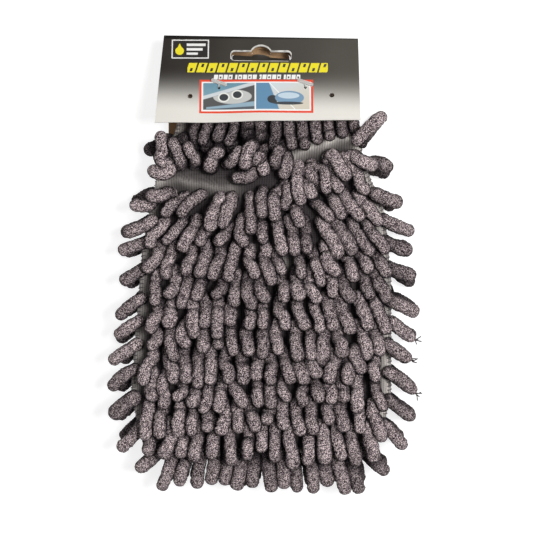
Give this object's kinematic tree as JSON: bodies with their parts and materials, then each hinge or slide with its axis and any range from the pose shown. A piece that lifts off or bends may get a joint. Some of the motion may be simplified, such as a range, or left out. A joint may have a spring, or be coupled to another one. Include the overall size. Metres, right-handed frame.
{
  "type": "wash mitt",
  "caption": "Chenille car wash mitt with shaggy finger pile on both faces, an elasticated cuff and a pinned, folded header card with a hang slot.",
  "frame": {"origin": "on the table, under the middle of the whole object's box, card included", "axes": "+X across the mitt, +Y from the foot seam to the cuff and the header card's crease, +Z out of the mitt's front face"},
  "size_m": [0.1766, 0.2714, 0.0415],
  "materials": {
    "chenille": "nubbly chenille pile",
    "backing_knit": "ribbed polyester knit",
    "seam_overlock": "overlocked allowance",
    "hem_knit": "folded ribbed knit",
    "elastic": "woven elastic",
    "sewing_thread": "polyester thread",
    "printed_card": "semi-gloss printed face over kraft board",
    "kraft_card": "bare kraft board",
    "clear_plastic": "clear moulded plastic"
  },
  "bodies": {
    "mitt": {"front_panel": "backing_knit", "back_panel": "backing_knit", "side_seam": "seam_overlock", "cuff_hem": "hem_knit", "cuff_elastic": "elastic", "hem_stitching": "sewing_thread", "front_chenille_row_01": "chenille", "front_chenille_row_02": "chenille", "front_chenille_row_03": "chenille", "front_chenille_row_04": "chenille", "front_chenille_row_05": "chenille", "front_chenille_row_06": "chenille", "front_chenille_row_07": "chenille", "front_chenille_row_08": "chenille", "front_chenille_row_09": "chenille", "front_chenille_row_10": "chenille", "front_chenille_row_11": "chenille", "front_chenille_row_12": "chenille", "front_chenille_row_13": "chenille", "front_chenille_row_14": "chenille", "back_chenille_row_01": "chenille", "back_chenille_row_02": "chenille", "back_chenille_row_03": "chenille", "back_chenille_row_04": "chenille", "back_chenille_row_05": "chenille", "back_chenille_row_06": "chenille", "back_chenille_row_07": "chenille", "back_chenille_row_08": "chenille", "back_chenille_row_09": "chenille", "back_chenille_row_10": "chenille", "back_chenille_row_11": "chenille", "back_chenille_row_12": "chenille", "back_chenille_row_13": "chenille", "back_chenille_row_14": "chenille", "card_back_leaf": "kraft_card", "tag_pin_left": "clear_plastic", "tag_pin_right": "clear_plastic"},
    "front_leaf": {"card_front_leaf": "printed_card"},
    "front_flap": {"card_front_flap": "printed_card"},
    "back_flap": {"card_back_flap": "kraft_card"}
  },
  "joints": [
    {"name": "front_leaf_lift", "type": "hinge", "parent": "mitt", "child": "front_leaf", "pos_m": [0, 0.1355, 0.02131], "axis": [-1, 0, 0], "range_deg": [0, 10], "deforming": ["tag_pin_left", "tag_pin_right"]},
    {"name": "front_flap_push", "type": "hinge", "parent": "front_leaf", "child": "front_flap", "pos_m": [0, 0.1203, 0.02641], "axis": [-1, 0, 0], "range_deg": [-40, 35]},
    {"name": "back_flap_push", "type": "hinge", "parent": "mitt", "child": "back_flap", "pos_m": [0, 0.12058, 0.01168], "axis": [-1, 0, 0], "range_deg": [-25, 35]}
  ]
}
